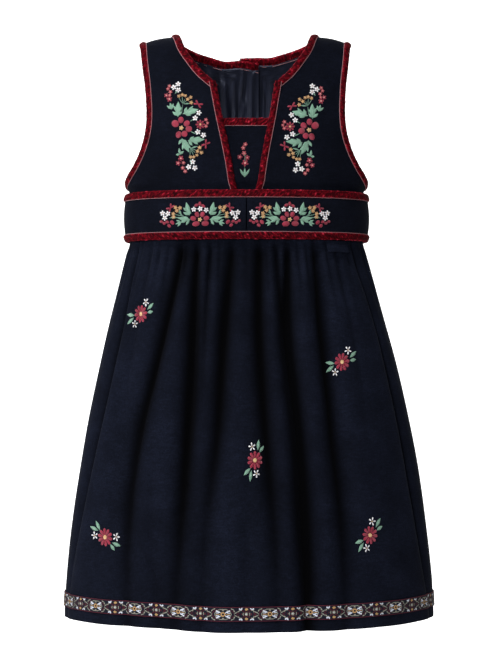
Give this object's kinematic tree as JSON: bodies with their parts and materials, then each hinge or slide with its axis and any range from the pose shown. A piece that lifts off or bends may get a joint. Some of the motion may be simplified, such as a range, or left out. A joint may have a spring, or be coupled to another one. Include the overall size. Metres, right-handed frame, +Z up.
{
  "type": "child's sleeveless folk dress",
  "caption": "Sleeveless child's folk dress with a belted bodice, an inset front, velvet bindings and a gathered skirt, held open in its worn shape.",
  "frame": {"origin": "midway between the shoulders at the height where the straps are held, in the garment's middle plane", "axes": "+X to the right of someone who looks at the front, -Y out of the front, +Z up"},
  "size_m": [0.383, 0.2473, 0.5986],
  "materials": {
    "wool_cloth": "fulled navy wool cloth, matt with a short nap",
    "velvet": "crushed dark red velvet",
    "lining": "dark grey satin lining",
    "ribbon": "woven patterned ribbon",
    "button": "dark navy"
  },
  "bodies": {
    "root": {"armhole_binding_left": "velvet", "armhole_binding_right": "velvet", "back_button_1": "button", "back_button_2": "button", "back_button_3": "button", "belt_binding_bottom": "velvet", "belt_binding_top": "velvet", "belt_left": "wool_cloth", "belt_right": "wool_cloth", "belt_tab": "wool_cloth", "bodice_back_left": "wool_cloth", "bodice_back_right": "wool_cloth", "bodice_front_left": "wool_cloth", "bodice_front_right": "wool_cloth", "hem_ribbon_back_left": "ribbon", "hem_ribbon_back_right": "ribbon", "hem_ribbon_front": "ribbon", "lining_back_left": "lining", "lining_back_right": "lining", "neck_binding_left": "velvet", "neck_binding_right": "velvet", "plastron": "wool_cloth", "plastron_binding": "velvet", "skirt_back_left": "wool_cloth", "skirt_back_right": "wool_cloth", "skirt_front": "wool_cloth", "slit_binding_left": "velvet", "slit_binding_right": "velvet"}
  },
  "joints": []
}
